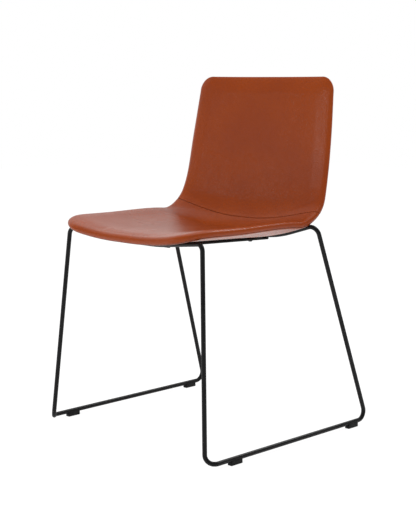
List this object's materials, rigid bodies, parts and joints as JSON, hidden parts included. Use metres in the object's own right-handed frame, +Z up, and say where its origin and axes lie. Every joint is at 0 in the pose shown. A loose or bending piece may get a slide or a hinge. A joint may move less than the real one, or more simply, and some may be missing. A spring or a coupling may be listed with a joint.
{
  "type": "sled base visitor chair",
  "caption": "Armless visitor chair: a one-piece leather padded seat and back shell with rolled edges, on a bent black steel rod sled base with straps and glides",
  "frame": {"origin": "on the floor, midway between the two sides and midway between the front of the seat and the heels of the sled", "axes": "+Z up; the sitter faces -Y; +X is the sitter's left side; the chair is mirrored about the plane X = 0"},
  "size_m": [0.5412, 0.5128, 0.7898],
  "materials": {
    "frame": "satin black powder coat",
    "screw": "black oxide steel, button head, hexagon socket",
    "insert": "plain turned brass, out of sight",
    "glide": "moulded black nylon, fine matt grain",
    "shell": "moulded black polypropylene, out of sight",
    "foam": "open cell polyurethane foam, out of sight",
    "upholstery": "cognac brown leather, fine pebble grain, semi-matt, plain seams"
  },
  "bodies": {
    "root": {"left_sled_rod": "frame", "right_sled_rod": "frame", "left_seat_strap": "frame", "right_seat_strap": "frame", "strap_welds": "frame", "mounting_screws": "screw", "threaded_inserts": "insert", "front_left_glide": "glide", "front_right_glide": "glide", "rear_left_glide": "glide", "rear_right_glide": "glide", "inner_shell": "shell", "seat_foam": "foam", "back_foam": "foam", "outer_lining": "foam", "seat_cover": "upholstery", "back_cover": "upholstery", "outer_cover": "upholstery"}
  },
  "joints": []
}
